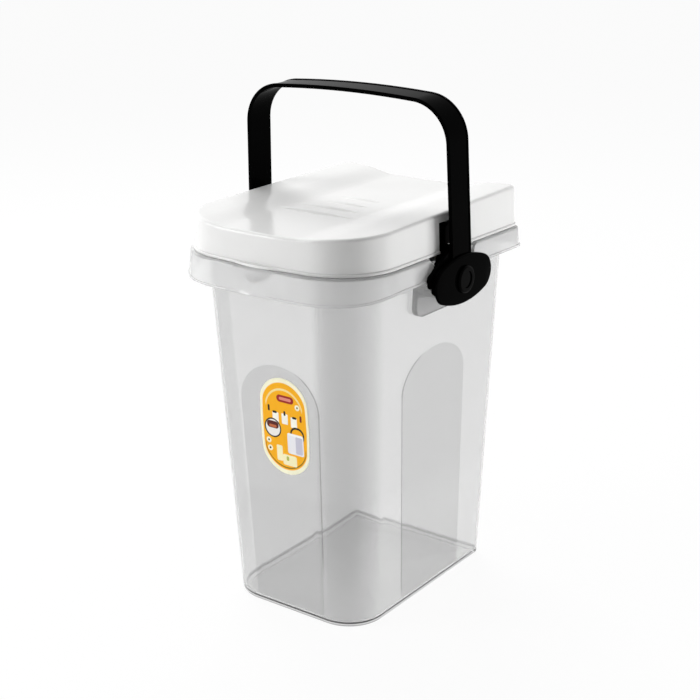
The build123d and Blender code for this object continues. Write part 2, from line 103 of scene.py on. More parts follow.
# Handle's pivot and its right foot: half length, half height and end radius of the oval plate
PIVOT_Y, PIVOT_HEIGHT = 8.35, 268.0
FOOT_LENGTH, FOOT_HEIGHT, FOOT_END = 39.0, 18.6, 14.0
CAM_INNER, CAM_OUTER, CAM_TOP, STRAP_HALF = 90.9, 94.0, 30, 12.5
POCKET_HALF = 15.0
# How far the trimmed cam stays inside the plate, at the rear and above
REAR_CLEAR, TOP_CLEAR = 4, 1.0
# Undercut of the cam: its share of the distance from the pivot, the radius that it leaves alone, and the
# depths below the pivot where it starts and is full
UNDERCUT, UNDERCUT_RADIUS, UNDERCUT_START, UNDERCUT_FULL = 0.18, 14, 3.0, 6.0
# The hub's largest radius, and how much more it may have straight up
HUB_LIMIT, HUB_RISE = 16.5, 7.5

# Painted shade: how much of the deepest grey shows at the right and left front corners, the base, and the floor's
# inner edge
CORNER_RIGHT, CORNER_LEFT, BASE_PAINTED_SHADE, FLOOR_EDGE = 0.44, 0.15, 0.29, 0.8
# Painted shade of the right corner just before its turn, and the height where a corner has all of its grey
CORNER_FADE, CORNER_FULL_HEIGHT = (0.1, 0.25, 0.5, 0.7), 90
# The left panel is barely seen through the front: this depth inside its edge is the most its polish counts
LEFT_POLISH = -0.08

# Share of the paper floor that shows as plain white, the rest takes the shadow, and half the floor's width
FLOOR_WHITE, FLOOR_REACH = 0.95, 6000.0

# Label: place and size, and how many rings and spokes its mesh has
LABEL_WIDTH, LABEL_HEIGHT, LABEL_X, LABEL_Z = 45.5, 78.0, 4.0, 160.0
LABEL_THICKNESS, LABEL_RINGS, LABEL_SPOKES = 0.25, 14, 96
LABEL_FIELD, LABEL_BORDER = "#FFB508", "#FFFBDC"
# Shares of the way out: where the border starts, and two thin lines, each from one share to another, one above
# the label's middle and one below it; a line fades in over these heights
BORDER_START = (0.90, 0.915)
LABEL_LINES = ((0.745, 0.79, 1, "#FFE39A"), (0.85, 0.875, -1, "#8F6A12"))
LINE_FADE = (14.0, 17.0)
# Shapes printed on the label, back to front, in millimetres from its middle: place across and up, half width,
# half height, corner radius and colour; and half the blur of their edges
PRINT_BLUR = 0.15
LABEL_SHAPES = [
    (1.6, 22.6, 8.0, 2.9, 2.9, "#A3241F"), (1.6, 22.6, 5.6, 1.2, 1.2, "#E58C80"),
    (12.8, 18.1, 2.3, 2.3, 2.3, "#FFF8DC"), (12.8, 18.1, 0.8, 0.8, 0.8, "#6F6A4E"),
    (-14.4, 12.8, 0.9, 2.6, 0.9, "#2B1A12"), (15.6, 9.6, 0.9, 2.6, 0.9, "#7C1F18"),
    (-8.2, 6.2, 2.9, 4.2, 0.8, "#FFFCF0"), (0.5, 6.5, 2.9, 4.2, 0.8, "#FFFCF0"),
    (9.0, 5.2, 2.9, 4.2, 0.8, "#FFFCF0"), (-8.9, 10.4, 2.0, 0.9, 0.9, "#151515"),
    (0.5, 11.0, 0.9, 2.0, 0.9, "#151515"), (9.6, 9.2, 2.0, 0.9, 0.9, "#151515"),
    (-11.4, -3.0, 7.9, 7.9, 7.9, "#20211F"), (-11.4, -3.0, 6.8, 6.8, 6.8, "#F4F1EC"),
    (-11.4, -0.4, 5.6, 2.9, 2.6, "#5A231C"), (-11.4, -1.6, 3.6, 1.1, 1.1, "#C4683C"),
    (11.6, -4.6, 6.6, 6.4, 6.0, "#121212"), (11.6, -5.4, 5.3, 5.6, 4.8, LABEL_FIELD),
    (9.6, -12.6, 7.6, 8.4, 1.6, "#F3F2F6"), (12.9, -13.0, 3.2, 7.0, 1.2, "#CDCBDA"),
    (9.6, -5.0, 7.0, 0.9, 0.9, "#FFFFFF"), (-16.0, -14.0, 2.3, 2.3, 2.3, "#FFF8DC"),
    (-16.0, -14.0, 0.8, 0.8, 0.8, "#3A2A18"), (-15.0, -20.4, 2.3, 2.3, 2.3, "#FFF8DC"),
    (-15.0, -20.4, 0.9, 0.9, 0.9, "#2A1A12"), (-6.0, -22.6, 2.8, 6.4, 1.2, "#FFF6C8"),
    (3.4, -27.0, 6.6, 4.4, 1.6, "#FFF6C8"), (1.4, -25.8, 1.2, 1.8, 0.8, "#B9BE52"),
]


def linear(code):
    """Linear RGBA of an sRGB hex colour: c / 12.92 below 0.04045, else ((c + 0.055) / 1.055) to the power 2.4."""
    parts = [int(code[i:i + 2], 16) / 255 for i in (1, 3, 5)]
    return [p / 12.92 if p < 0.04045 else ((p + 0.055) / 1.055) ** 2.4 for p in parts] + [1.0]


def node(tree, kind, sockets=None, **settings):
    """Adds a node: settings are its properties, sockets its inputs by name or number, as values or as links."""
    made = tree.nodes.new(kind)
    for key, value in settings.items():
        setattr(made, key, value)
    for name, value in (sockets or {}).items():
        if isinstance(value, bpy.types.NodeSocket):
            tree.links.new(value, made.inputs[name])
        else:
            made.inputs[name].default_value = value
    return made


def new_material(name):
    """An empty node material with its output: returns the material, its tree and the output node."""
    made = bpy.data.materials.new(name)
    made.use_nodes = True
    made.node_tree.nodes.clear()
    return made, made.node_tree, made.node_tree.nodes.new("ShaderNodeOutputMaterial")


def new_object(name, points, faces, material, smooth_angle=35.0):
    """A mesh object from points in millimetres, smooth except at edges sharper than the angle."""
    mesh = bpy.data.meshes.new(name)
    mesh.from_pydata((np.asarray(points) * MM).tolist(), [], faces)
    mesh.validate()
    mesh.shade_smooth()
    mesh.set_sharp_from_angle(angle=math.radians(smooth_angle))
    mesh.materials.append(material)
    made = bpy.data.objects.new(name, mesh)
    bpy.context.scene.collection.objects.link(made)
    return made


def grid_faces(rows, columns):
    """Quads of a grid of rows by columns, row by row, whose columns join round."""
    row, column = np.meshgrid(np.arange(rows - 1), np.arange(columns), indexing="ij")
    following = (column + 1) % columns
    quads = np.stack([row * columns + column, row * columns + following,
                      (row + 1) * columns + following, (row + 1) * columns + column], axis=-1)
    return quads.reshape(-1, 4).tolist()


def plan_loop(half, front, rear, front_radius, rear_radius, bow=0.0):
    """Closed plan line from the front middle, anticlockwise. The front edge is a straight line, or an arc of
    radius (half^2 + bow^2) / (2 bow); the front corner is the circle that touches it and the side from within,
    so its centre is that arc's radius less its own from the arc's centre; the rear corner is a quarter circle."""
    flat = -math.pi / 2
    if bow:
        big = (half ** 2 + bow ** 2) / (2 * bow)
        big_y = front - bow + big
        corner_y = big_y - math.sqrt((big - front_radius) ** 2 - (half - front_radius) ** 2)
        start = math.atan2(corner_y - big_y, half - front_radius)
        turn = np.linspace(flat, start, FRONT_STEPS, endpoint=False)
        first = np.stack([big * np.cos(turn), big_y + big * np.sin(turn)], axis=1)
    else:
        corner_y, start = front + front_radius, flat
        across = np.linspace(0, half - front_radius, FRONT_STEPS, endpoint=False)
        first = np.stack([across, np.full_like(across, front)], axis=1)
    turn = np.linspace(start, 0, CORNER_STEPS, endpoint=False)
    corner = np.stack([half - front_radius + front_radius * np.cos(turn),
                       corner_y + front_radius * np.sin(turn)], axis=1)
    along = np.linspace(corner_y, rear - rear_radius, SIDE_STEPS, endpoint=False)
    side = np.stack([np.full_like(along, half), along], axis=1)
    turn = np.linspace(0, -flat, REAR_CORNER_STEPS, endpoint=False)
    back_corner = np.stack([half - rear_radius + rear_radius * np.cos(turn),
                            rear - rear_radius + rear_radius * np.sin(turn)], axis=1)
    across = np.linspace(half - rear_radius, 0, REAR_STEPS)
    back = np.stack([across, np.full_like(across, rear)], axis=1)
    right = np.concatenate([first, corner, side, back_corner, back])
    left = right[1:-1][::-1] * [-1, 1]
    return np.concatenate([right, left])


def wall_loop(height, inset=0.0):
    """Plan line of the tub's wall at a height: every inset and radius changes in proportion to the depth
    below the rim, and inset moves the line inwards."""
    share = 1 - height / RIM_HEIGHT
    return plan_loop(RIM_WIDTH / 2 - INSET_SIDE - TAPER_SIDE * share - inset,
                     RIM_FRONT + INSET_FRONT + TAPER_FRONT * share + inset,
                     RIM_REAR - INSET_REAR - TAPER_REAR * share - inset,
                     MOUTH_FRONT_RADIUS - TAPER_FRONT_RADIUS * share - inset,
                     MOUTH_REAR_RADIUS - TAPER_REAR_RADIUS * share - inset)


def ring(height, inset=0.0):
    """The wall's plan line at a height, as points in space."""
    loop = wall_loop(height, inset)
    return np.column_stack([loop, np.full(len(loop), height)])


def panel_inside(across, height, panel):
    """Millimetres inside an arched panel's outline: to the nearer side below the arch, and in the arch
    (1 - r) times its rise, where r is the radius in the half oval; never more than the height over its foot."""
    half, top, rise, narrowing, lean = panel
    spring = top - rise
    below = np.clip(spring - height, 0, None)
    side = half - narrowing * below - np.abs(across - lean * below)
    oval = (1 - np.hypot(across / half, (height - spring) / rise)) * rise
    return np.minimum(np.where(height > spring, oval, side), height - PANEL_BOTTOM)


def soft_step(value, low, high):
    """0 below low, 1 above high, and 3 t^2 - 2 t^3 between them."""
    t = np.clip((value - low) / (high - low), 0, 1)
    return t * t * (3 - 2 * t)


def wall_rows():
    """Rows of the tub's shell, each a plan line: under the base, round its edge, up the outer wall, over the
    mouth's edge, down the inner wall and round into the floor. Comes with the outer wall's first row and end."""
    foot = FOOT_RING_WIDTH + BASE_EDGE
    rows = [ring(FOOT_RING_HEIGHT, foot), ring(0, foot)]
    for turn in np.radians(np.linspace(0, 90, BASE_STEPS)):
        rows.append(ring(BASE_EDGE * (1 - math.cos(turn)), BASE_EDGE * (1 - math.sin(turn))))
    first_wall = len(rows)
    for height in np.linspace(BASE_EDGE, RIM_HEIGHT - MOUTH_DROP, OUTER_STEPS)[1:]:
        rows.append(ring(height))
    last_wall = len(rows)
    for inset in (MOUTH_BEVEL, WALL - MOUTH_BEVEL):
        rows.append(ring(RIM_HEIGHT - MOUTH_TOP_DROP, inset))
    for height in np.linspace(RIM_HEIGHT - MOUTH_DROP, FLOOR_TOP + FLOOR_RADIUS, INNER_STEPS):
        rows.append(ring(height, WALL))
    for turn in np.radians(np.linspace(0, 90, FLOOR_STEPS + 1))[1:]:
        rows.append(ring(FLOOR_TOP + FLOOR_RADIUS * (1 - math.sin(turn)),
                         WALL + FLOOR_RADIUS * (1 - math.cos(turn))))
    return np.array(rows), first_wall, last_wall


def painted_line_share(across, height, limits):
    """How much of a panel's painted dark edge line shows: it fades in sideways between two limits, and upwards.
    """
    return soft_step(across, *limits[:2]) * soft_step(height, *limits[2:])


def painted_corner_shade(heights):
    """Painted shade on the shell's front corners, where they turn away from the lamps: sin(pi t^0.62)^0.9 over a
    corner's turn t from the front, raised to start at three quarters, with a short fade before it on the right,
    and half of it at the base."""
    share = np.linspace(0, 1, CORNER_STEPS)
    bump = np.sin(math.pi * share ** 0.62) ** 0.9
    bump = np.where(share < 0.33, 0.75 + 0.25 * bump, bump)
    start, end = FRONT_STEPS, FRONT_STEPS + CORNER_STEPS
    turned = np.zeros(heights.shape[1])
    turned[start - len(CORNER_FADE):start] = CORNER_RIGHT * np.array(CORNER_FADE)
    turned[start:end] = CORNER_RIGHT * bump
    turned[1 - end:1 - start] = CORNER_LEFT * bump[::-1]
    return turned * (0.5 + 0.5 * soft_step(heights, 0, CORNER_FULL_HEIGHT))


def add_share(piece, name, values):
    """Gives a piece's points a number each, which its material reads by name."""
    made = piece.data.attributes.new(name, "FLOAT", "POINT")
    made.data.foreach_set("value", np.asarray(values, dtype=np.float32))


def make_wall(material):
    """Closed shell of the tub. Its arched panels are sunk by a soft step, outside and inside alike, so that the
    wall keeps its thickness. Its points say how far inside a panel they are, how much of the panel's painted dark
    edge line they show and how much painted shade they carry: at the front corners, and as dark refraction at the
    base's round edge and along the floor's."""
    points, first_wall, last_wall = wall_rows()
    for block in (points[last_wall + 2:-FLOOR_STEPS], points[first_wall:last_wall]):
        x, y, z = block[..., 0].copy(), block[..., 1].copy(), block[..., 2]
        lean = 1 - z / RIM_HEIGHT
        on_front = y < RIM_FRONT + INSET_FRONT + TAPER_FRONT * lean + WALL + 0.01
        on_side = np.abs(x) > RIM_WIDTH / 2 - INSET_SIDE - TAPER_SIDE * lean - WALL - 0.01
        front = np.where(on_front, panel_inside(x, z, FRONT_PANEL), OUTSIDE)
        side = np.where(on_side, panel_inside(y - SIDE_PANEL_Y, z, SIDE_PANEL), OUTSIDE)
        block[..., 1] += PANEL_DEPTH * soft_step(front, PANEL_START, FRONT_SLOPE)
        block[..., 0] -= np.sign(x) * PANEL_DEPTH * soft_step(side, PANEL_START, SIDE_SLOPE)
    side = np.where(x < 0, np.minimum(side, LEFT_POLISH), side)
    clear = np.full(points.shape[:2], OUTSIDE)
    clear[first_wall:last_wall] = np.maximum(front, side)
    # Painted shade: a dark line at the front and right panels' edges, standing in for the step's refraction
    line = np.zeros(points.shape[:2])
    line[first_wall:last_wall] = np.where(on_front, painted_line_share(x, z, FRONT_PAINTED_LINE),
                                          painted_line_share(SIDE_PANEL_Y - y, z, SIDE_PAINTED_LINE) * (x > 0))
    # Painted shade: the front corners greyer where they turn from the lamps, and the base's and floor's round
    # edges dark as refraction would make them
    grey = painted_corner_shade(points[..., 2])
    grey[:first_wall] = BASE_PAINTED_SHADE
    grey[first_wall - 5:first_wall - 1] = 1
    grey[-FLOOR_STEPS:-1] = FLOOR_EDGE
    grey[-1] = BASE_PAINTED_SHADE
    count, columns = points.shape[:2]
    faces = grid_faces(count, columns)
    points = np.concatenate([points.reshape(-1, 3), [[0, RIM_Y, FOOT_RING_HEIGHT], [0, RIM_Y, FLOOR_TOP]]])
    under, over = count * columns, count * columns + 1
    last = (count - 1) * columns
    faces += [[under, (i + 1) % columns, i] for i in range(columns)]
    faces += [[over, last + i, last + (i + 1) % columns] for i in range(columns)]
    wall = new_object("tub_wall", points, faces, material)
    add_share(wall, "panel_inside", np.append(clear, [OUTSIDE, OUTSIDE]))
    add_share(wall, "painted_edge_shade", np.append(line, [0, 0]))
    add_share(wall, "painted_shade_share", np.append(grey, [BASE_PAINTED_SHADE, BASE_PAINTED_SHADE]))
    return wall


def copy_of(name):
    """Points in millimetres and triangles of a merged copy of a CAD node: equal points become one."""
    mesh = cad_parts[name].data
    points = np.empty(len(mesh.vertices) * 3)
    mesh.vertices.foreach_get("co", points)
    mesh.calc_loop_triangles()
    triangles = np.empty(len(mesh.loop_triangles) * 3, dtype=int)
    mesh.loop_triangles.foreach_get("vertices", triangles)
    keys = np.round(points.reshape(-1, 3) / MM, 3)
    merged, place = np.unique(keys, axis=0, return_inverse=True)
    triangles = place.ravel()[triangles].reshape(-1, 3)
    a, b, c = triangles.T
    return merged, triangles[(a != b) & (b != c) & (c != a)]


def used_part(name, points, triangles, material):
    """An object of only those points that its triangles use, and the numbers of those points."""
    used, place = np.unique(triangles, return_inverse=True)
    return new_object(name, points[used], place.reshape(-1, 3).tolist(), material), used


def make_rim(material):
    """Rim, skirt, side pads, bosses and hinge ears: the faces of the tub's copy above the pads' lower edge
    that don't lie on the wall's own outer or inner surface. The side pads' faces carry painted shadow, the shade
    under the skirt beside the handle's feet."""
    points, triangles = copy_of("tub")
    x, y, z = points.T
    share = 1 - z / RIM_HEIGHT
    half = RIM_WIDTH / 2 - INSET_SIDE - TAPER_SIDE * share
    front = RIM_FRONT + INSET_FRONT + TAPER_FRONT * share
    rear = RIM_REAR - INSET_REAR - TAPER_REAR * share
    radius = MOUTH_FRONT_RADIUS - TAPER_FRONT_RADIUS * share
    rear_radius = MOUTH_REAR_RADIUS - TAPER_REAR_RADIUS * share

    def inside(inset):
        """Distance inside the wall's plan line moved inwards by inset, with its corners as circles."""
        corner = np.where(y < 0, radius, rear_radius)
        across = np.abs(x) - (half - corner)
        along = np.where(y < 0, front + corner - y, y - (rear - corner))
        straight = np.minimum(half - np.abs(x), np.minimum(y - front, rear - y))
        rounded = corner - np.hypot(across, along)
        return np.where((across > 0) & (along > 0), rounded, straight) - inset

    on_outer = np.abs(inside(0)) < NEAR
    on_inner = np.abs(inside(WALL)) < NEAR
    low = z < PAD_BOTTOM - 0.5
    under = (inside(0) > NEAR) & (z < RIM_HEIGHT - 0.5)
    dropped = (low[triangles].any(1) | on_outer[triangles].all(1) | on_inner[triangles].all(1)
               | under[triangles].all(1))
    made, used = used_part("tub_rim", points, triangles[~dropped], material)
    # Painted shadow: the side pads under the skirt are darkened
    pads = (np.abs(y - PIVOT_Y) < PAD_REACH) & (z < PAD_TOP) & (np.abs(x) > PAD_INNER) & (np.abs(x) < PAD_OUTER)
    add_share(made, "painted_shade_share", pads[used])
    return made


def lid_points(height, inset=0.0):
    """Points of the lid's side wall, each at its own height: the plan line at the lower edge and the one at the
    draft's height, which the draft brings inwards, mixed by the height."""
    low, high = (plan_loop(LID_SIDE - inset - lean, LID_FRONT + inset + lean, LID_REAR - inset,
                           LID_FRONT_RADIUS - inset - lean, LID_REAR_RADIUS, LID_BOW) for lean in (0, LID_DRAFT))
    height = np.broadcast_to(height, len(low))
    share = ((height - LID_BASE) / LID_DRAFT_HEIGHT)[:, None]
    return np.column_stack([low + (high - low) * share, height])


def share_back(y):
    """Share of the way from the bowed front of the rim to its rear."""
    return (y - RIM_FRONT + LID_BOW) / (RIM_REAR - RIM_FRONT + LID_BOW)


def lid_top(x, y):
    """Height of the lid's top: the dish's floor rises to the rear and rolls up by a soft step into a ridge at
    each side, and a gentler one up to its outer edge. A wave adds its height times cos^2 across it, and narrows
    and sinks as l = 1 - s^2 along it: its width goes as 0.4 + 0.6 l and its height as l."""
    share = share_back(y)
    floor = LID_BASE + DISH_FRONT + (DISH_REAR - DISH_FRONT) * share
    ridge = LID_BASE + RIDGE_FRONT + (RIDGE_REAR - RIDGE_FRONT) * share
    side = np.abs(x)
    rise = SLOPE_SHARE * soft_step(side, DISH_HALF, RIDGE_INNER)
    brim = BRIM_SHARE * soft_step(side, BRIM_INNER, RIDGE_OUTER)
    top = floor + (ridge - floor) * (rise + brim)
    for middle_x, middle_y, half, width, height in WAVES:
        lens = np.clip(1 - ((x - middle_x) / half) ** 2, 0, None)
        across = np.clip(np.abs(y - middle_y) / (width * (0.4 + 0.6 * lens)), 0, 1)
        top = top + height * lens * np.cos(across * math.pi / 2) ** 2
    return top


def make_lid_cover(material):
    """Smooth outer skin of the lid, laid over the CAD lid and closed inside its wall: rings of the plan line from
    the middle out over the top, a quarter round at the edge, a short way down the side, and back underneath."""
    edge = lid_points(LID_BASE + RIDGE_FRONT, CROWN_RADIUS)
    edge = lid_points(lid_top(edge[:, 0], edge[:, 1]), CROWN_RADIUS)
    crest = lid_top(edge[:, 0], edge[:, 1])

    def rings(shares, drop):
        """Rows at shares of the way from the middle to the edge, dropped below the top."""
        rows = []
        for share in shares:
            x, y = edge[:, 0] * share, edge[:, 1] * share
            rows.append(np.column_stack([x, y, lid_top(x, y) - drop]))
        return rows

    rows = rings(np.linspace(0, 1, COVER_RINGS + 1)[1:], 0)
    for turn in np.radians(np.linspace(0, 90, CROWN_STEPS + 1)[1:]):
        inset = CROWN_RADIUS * (1 - math.sin(turn)) - COVER_PROUD
        rows.append(lid_points(crest - CROWN_RADIUS * (1 - math.cos(turn)), inset))
    rows.append(lid_points(crest - COVER_DEPTH, -COVER_PROUD))
    rows.append(lid_points(crest - COVER_DEPTH, COVER_THICKNESS))
    rows.append(lid_points(crest - CROWN_RADIUS, COVER_THICKNESS))
    rows += rings(np.linspace(1, 0, UNDER_RINGS + 1)[:-1], COVER_THICKNESS)
    points = np.array(rows)
    count, columns = points.shape[:2]
    faces = [quad[::-1] for quad in grid_faces(count, columns)]
    middle = float(lid_top(np.array(0.0), np.array(0.0)))
    points = np.concatenate([points.reshape(-1, 3), [[0, 0, middle], [0, 0, middle - COVER_THICKNESS]]])
    last = (count - 1) * columns
    faces += [[count * columns, i, (i + 1) % columns] for i in range(columns)]
    faces += [[count * columns + 1, last + (i + 1) % columns, last + i] for i in range(columns)]
    return new_object("lid_cover", points, faces, material)


def make_lid_shell(material):
    """Sides, pockets, knuckles and inner parts of the lid: the CAD lid's copy without the faces of its top, for
    which the cover stands in. What is left under the top is kept below the cover's underside."""
    points, triangles = copy_of("lid")
    x, y, z = points.T
    share = share_back(y)
    slope = np.clip((np.abs(x) - CAD_SLOPE_START) / CAD_SLOPE_WIDTH, 0, 1)
    top = LID_BASE + CAD_DISH + CAD_DISH_RISE * share + (CAD_RIDGE + CAD_RIDGE_RISE * share) * slope
    triangles = triangles[((top - z)[triangles] > TOP_SKIN).any(1)]
    under = np.minimum(z, lid_top(x, y) - COVER_THICKNESS - COVER_GAP)
    points[:, 2] = np.where(np.abs(x) < LID_SIDE - 4, under, z)
    return used_part("lid_shell", points, triangles, material)[0]


def make_lid_bead(material):
    """Round bead along the lid's lower edge, left out at the pockets and along the hinge: a circle carried along
    the plan line, where its first axis is the line's own outward normal and its second is upwards."""
    loop = lid_points(LID_BASE + BEAD_HEIGHT)
    right = loop[:len(loop) // 2 + 1]
    x, y = right[:, 0], right[:, 1]
    front = right[y < PIVOT_Y - POCKET_HALF]
    behind = right[(y > PIVOT_Y + POCKET_HALF) & (x > LID_SIDE - 1) & (y < LID_REAR - BEAD_REAR_GAP)]
    mirrored = [-1, 1, 1]
    paths = [np.concatenate([front[:0:-1] * mirrored, front]), behind, behind[::-1] * mirrored]
    points, faces, start = [], [], 0
    turn = np.linspace(0, 2 * math.pi, BEAD_SIDES, endpoint=False)[:, None]
    for path in paths:
        along = np.gradient(path, axis=0)
        along /= np.linalg.norm(along, axis=1)[:, None]
        outwards = np.column_stack([along[:, 1], -along[:, 0], np.zeros(len(path))])
        upwards = np.array([0, 0, 1.0])
        tube = path[:, None] + BEAD_RADIUS * (outwards[:, None] * np.cos(turn) + upwards * np.sin(turn))
        faces += [[start + q for q in quad[::-1]] for quad in grid_faces(len(path), BEAD_SIDES)]
        end = start + (len(path) - 1) * BEAD_SIDES
        faces += [list(range(start, start + BEAD_SIDES)), list(range(end + BEAD_SIDES - 1, end - 1, -1))]
        points.append(tube.reshape(-1, 3))
        start = end + BEAD_SIDES
    return new_object("lid_bead", np.concatenate(points), faces, material)


def foot_height(along):
    """Half height of the foot's oval at a distance along it: the long arc's circle, or the end circle."""
    centre = FOOT_LENGTH - FOOT_END
    long = (centre ** 2 + FOOT_HEIGHT ** 2 - FOOT_END ** 2) / (2 * (FOOT_HEIGHT - FOOT_END))
    join = centre * long / (long - FOOT_END)
    on_long = np.sqrt(np.clip(long ** 2 - along ** 2, 0, None)) - long + FOOT_HEIGHT
    on_end = np.sqrt(np.clip(FOOT_END ** 2 - (np.abs(along) - centre) ** 2, 0, None))
    return np.where(np.abs(along) < join, on_long, on_end)


def make_bail(material):
    """The handle's copy with the cams trimmed: behind the feet nothing stands out above or to the rear of the
    oval plate, and the plate's back edge is undercut below the nose."""
    points, triangles = copy_of("handle")
    side, along, up = np.abs(points[:, 0]), points[:, 1] - PIVOT_Y, points[:, 2] - PIVOT_HEIGHT
    behind = (side > CAM_INNER) & (side < CAM_OUTER) & (up < CAM_TOP)
    rear = behind & (along > STRAP_HALF) & (up > -2)
    points[rear, 1] = PIVOT_Y + np.minimum(along[rear], FOOT_LENGTH - REAR_CLEAR)
    along = points[:, 1] - PIVOT_Y
    points[rear, 2] = PIVOT_HEIGHT + np.minimum(up[rear], foot_height(along[rear]) - TOP_CLEAR)
    low = behind & (up < -UNDERCUT_START) & (np.hypot(along, up) > UNDERCUT_RADIUS)
    shrink = 1 - UNDERCUT * soft_step(-up, UNDERCUT_START, UNDERCUT_FULL)
    points[low, 1] = PIVOT_Y + along[low] * shrink[low]
    points[low, 2] = PIVOT_HEIGHT + up[low] * shrink[low]
    return new_object("bail_handle", points, triangles.tolist(), material)


def make_hub(name, material):
    """A pivot hub's copy that stays behind the foot's oval: beyond a limit, distances from the pivot grow a
    quarter as fast. The limit is a radius, and a rise times c^4 more, where c is the share that points up."""
    points, triangles = copy_of(name)
    along, up = points[:, 1] - PIVOT_Y, points[:, 2] - PIVOT_HEIGHT
    reach = np.maximum(np.hypot(along, up), 1e-6)
    limit = HUB_LIMIT + HUB_RISE * np.clip(up / reach, 0, 1) ** 4
    share = np.where(reach > limit, (limit + (reach - limit) / 4) / reach, 1)
    points[:, 1], points[:, 2] = PIVOT_Y + along * share, PIVOT_HEIGHT + up * share
    return new_object(name.replace("pivot", "bail"), points, triangles.tolist(), material)


def make_label(material):
    """Oval sticker in the front panel. A point at share s of the way out and angle a lies at s times the oval's
    reach at a, where the oval is a strip with round ends, eased where they meet; the film's face follows the
    sloping wall."""
    angle = np.linspace(0, 2 * math.pi, LABEL_SPOKES, endpoint=False)
    radius, straight = LABEL_WIDTH / 2, (LABEL_HEIGHT - LABEL_WIDTH) / 2
    across = radius * np.cos(angle)
    along = radius * np.sin(angle) + np.sign(np.sin(angle)) * straight * soft_step(np.abs(np.sin(angle)), 0, 0.3)
    share = np.linspace(0, 1, LABEL_RINGS)[1:, None]
    x = np.append(0, (share * across).ravel()) + LABEL_X
    z = np.append(0, (share * along).ravel()) + LABEL_Z
    share_out = np.append(0, (share * np.ones(LABEL_SPOKES)).ravel())
    wall = RIM_FRONT + INSET_FRONT + TAPER_FRONT * (1 - z / RIM_HEIGHT)
    face = np.column_stack([x, wall + PANEL_DEPTH - LABEL_THICKNESS, z])
    back = np.column_stack([x, wall + PANEL_DEPTH, z])
    count, edge = len(face), len(face) - LABEL_SPOKES
    spokes = [(i, (i + 1) % LABEL_SPOKES) for i in range(LABEL_SPOKES)]
    front = [[0, 1 + i, 1 + following] for i, following in spokes]
    front += [[q + 1 for q in quad[::-1]] for quad in grid_faces(LABEL_RINGS - 1, LABEL_SPOKES)]
    rim = [[edge + i, count + edge + i, count + edge + following, edge + following] for i, following in spokes]
    faces = front + [[count + q for q in part[::-1]] for part in front] + rim
    label = new_object("oval_label", np.concatenate([face, back]), faces, material)
    add_share(label, "share_out", np.tile(share_out, 2))
    return label


def clear_plastic(name, hazy_share, polished_share, hazy_tint, polished_tint, painted_shade_tint, painted_line_tint):
    """Clear styrene copolymer, moulded: polished on the arched panels, and elsewhere with a faint haze that
    takes a little light and varies over about 70 mm. Its corners, base edge, floor edge and the rim's side pads
    are greyed as painted shade, and a panel's edge shows a painted dark line in place of the step's refraction.
    The attributes say how far inside a panel a point is, how much painted shade it has and how much of the
    painted line it shows; the shares say how much light each surface lets through."""
    made, tree, output = new_material(name)
    inside = node(tree, "ShaderNodeAttribute", attribute_name="panel_inside")
    corner = node(tree, "ShaderNodeAttribute", attribute_name="painted_shade_share")
    polish = node(tree, "ShaderNodeMapRange", {"Value": inside.outputs["Fac"], "From Min": PANEL_START,
                                               "From Max": POLISH_FULL})
    place = node(tree, "ShaderNodeTexCoord")
    bloom = node(tree, "ShaderNodeTexNoise", {"Vector": place.outputs["Object"], "Scale": 14.0, "Detail": 3.0})
    hazy = node(tree, "ShaderNodeMapRange", {"Value": bloom.outputs["Fac"], "From Min": 0.3, "From Max": 0.7,
                                             "To Min": 0.03, "To Max": 0.06})
    rough = node(tree, "ShaderNodeMix", {"Factor": polish.outputs["Result"], "A": hazy.outputs["Result"],
                                         "B": 0.02})
    plain = node(tree, "ShaderNodeMix", {"Factor": polish.outputs["Result"], 6: linear(hazy_tint),
                                         7: linear(polished_tint)}, data_type="RGBA")
    # Painted shade: the corners, base, floor edge and the rim's side pads are mixed towards the darker tint
    body = node(tree, "ShaderNodeMix", {"Factor": corner.outputs["Fac"], 6: plain.outputs[2],
                                        7: linear(painted_shade_tint)}, data_type="RGBA")
    # Painted shade: the dark line along a panel's edge
    near = node(tree, "ShaderNodeMath", {0: inside.outputs["Fac"], 1: 0.0, 2: PAINTED_LINE_HALF}, operation="COMPARE")
    shown = node(tree, "ShaderNodeAttribute", attribute_name="painted_edge_shade")
    line = node(tree, "ShaderNodeMath", {0: near.outputs[0], 1: shown.outputs["Fac"]}, operation="MULTIPLY")
    tint = node(tree, "ShaderNodeMix", {"Factor": line.outputs[0], 6: body.outputs[2],
                                        7: linear(painted_line_tint)}, data_type="RGBA")
    through = node(tree, "ShaderNodeMapRange", {"Value": polish.outputs["Result"], "To Min": hazy_share,
                                                "To Max": polished_share})
    shader = node(tree, "ShaderNodeBsdfPrincipled",
                  {"Base Color": tint.outputs[2], "Roughness": rough.outputs[0], "IOR": 1.5,
                   "Transmission Weight": through.outputs["Result"]})
    tree.links.new(shader.outputs["BSDF"], output.inputs["Surface"])
    return made


